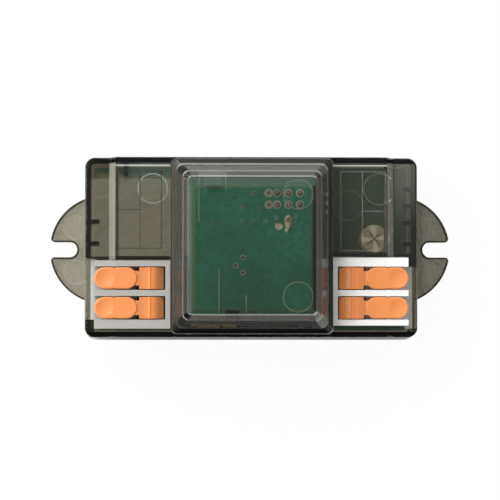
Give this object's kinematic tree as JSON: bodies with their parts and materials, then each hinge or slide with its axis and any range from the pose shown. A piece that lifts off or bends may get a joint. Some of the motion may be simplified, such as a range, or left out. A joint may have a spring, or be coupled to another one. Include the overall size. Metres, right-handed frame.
{
  "type": "microwave motion sensor",
  "caption": "Smoke-cased microwave motion sensor with slotted ears, a domed radar cover and lever wire terminals at both ends.",
  "frame": {"origin": "middle of the mounting face, under the middle of the case", "axes": "+X along the case towards the white terminal, +Y towards the plain long side, +Z out of the mounting face"},
  "size_m": [0.091, 0.0412, 0.025],
  "materials": {
    "smoke_plastic": "smooth clear moulding, smoke tint",
    "circuit_board": "green solder mask",
    "pad_copper": "dull tinned copper",
    "solder": "bright solder",
    "chip_black": "moulded epoxy",
    "small_part_tan": "ceramic",
    "header_black": "moulded",
    "tinned_metal": "tinned",
    "contact_copper": "tinned copper",
    "spring_steel": "polished strip",
    "grey_housing": "light grey moulding",
    "white_housing": "white moulding",
    "orange_lever": "satin orange moulding",
    "capacitor_can": "bare aluminium",
    "capacitor_sleeve": "shrunk sleeve",
    "capacitor_bung": "rubber",
    "relay_black": "moulded case",
    "ferrite": "sintered",
    "winding_tape": "polyester tape",
    "film_yellow": "moulded box",
    "varistor_blue": "dipped epoxy",
    "resistor_grey": "lacquer"
  },
  "bodies": {
    "case": {"base_plate": "smoke_plastic", "top_cover": "smoke_plastic", "main_board": "circuit_board", "radar_board": "circuit_board", "radar_pads": "pad_copper", "radar_solder_joints": "solder", "radar_chip": "chip_black", "power_chip": "chip_black", "logic_chip": "chip_black", "bridge_rectifier": "chip_black", "radar_small_parts": "small_part_tan", "main_small_parts": "small_part_tan", "header_socket": "header_black", "header_spacer": "header_black", "transformer_bobbin": "header_black", "header_pins": "tinned_metal", "relay_pins": "tinned_metal", "transformer_pins": "tinned_metal", "film_capacitor_leads": "tinned_metal", "varistor_leads": "tinned_metal", "fuse_resistor_leads": "tinned_metal", "bulk_capacitor_leads": "tinned_metal", "filter_capacitor_leads": "tinned_metal", "left_busbars": "contact_copper", "right_busbars": "contact_copper", "left_clamp_springs": "spring_steel", "right_clamp_springs": "spring_steel", "left_terminal_housing": "grey_housing", "right_terminal_housing": "white_housing", "bulk_capacitor_can": "capacitor_can", "filter_capacitor_can": "capacitor_can", "bulk_capacitor_sleeve": "capacitor_sleeve", "filter_capacitor_sleeve": "capacitor_sleeve", "bulk_capacitor_bung": "capacitor_bung", "filter_capacitor_bung": "capacitor_bung", "relay_case": "relay_black", "transformer_core": "ferrite", "transformer_winding": "winding_tape", "film_capacitor": "film_yellow", "varistor": "varistor_blue", "fuse_resistor": "resistor_grey"},
    "left_back_lever": {"left_back_lever": "orange_lever"},
    "left_front_lever": {"left_front_lever": "orange_lever"},
    "right_back_lever": {"right_back_lever": "orange_lever"},
    "right_front_lever": {"right_front_lever": "orange_lever"}
  },
  "joints": [
    {"name": "left_back_lever_hinge", "type": "hinge", "parent": "case", "child": "left_back_lever", "pos_m": [-0.02225, -0.00693, 0.01365], "axis": [0, 1, 0], "range_deg": [0, 88]},
    {"name": "left_front_lever_hinge", "type": "hinge", "parent": "case", "child": "left_front_lever", "pos_m": [-0.02225, -0.01353, 0.01365], "axis": [0, 1, 0], "range_deg": [0, 88]},
    {"name": "right_back_lever_hinge", "type": "hinge", "parent": "case", "child": "right_back_lever", "pos_m": [0.02225, -0.00693, 0.01365], "axis": [0, -1, 0], "range_deg": [0, 88]},
    {"name": "right_front_lever_hinge", "type": "hinge", "parent": "case", "child": "right_front_lever", "pos_m": [0.02225, -0.01353, 0.01365], "axis": [0, -1, 0], "range_deg": [0, 88]}
  ]
}
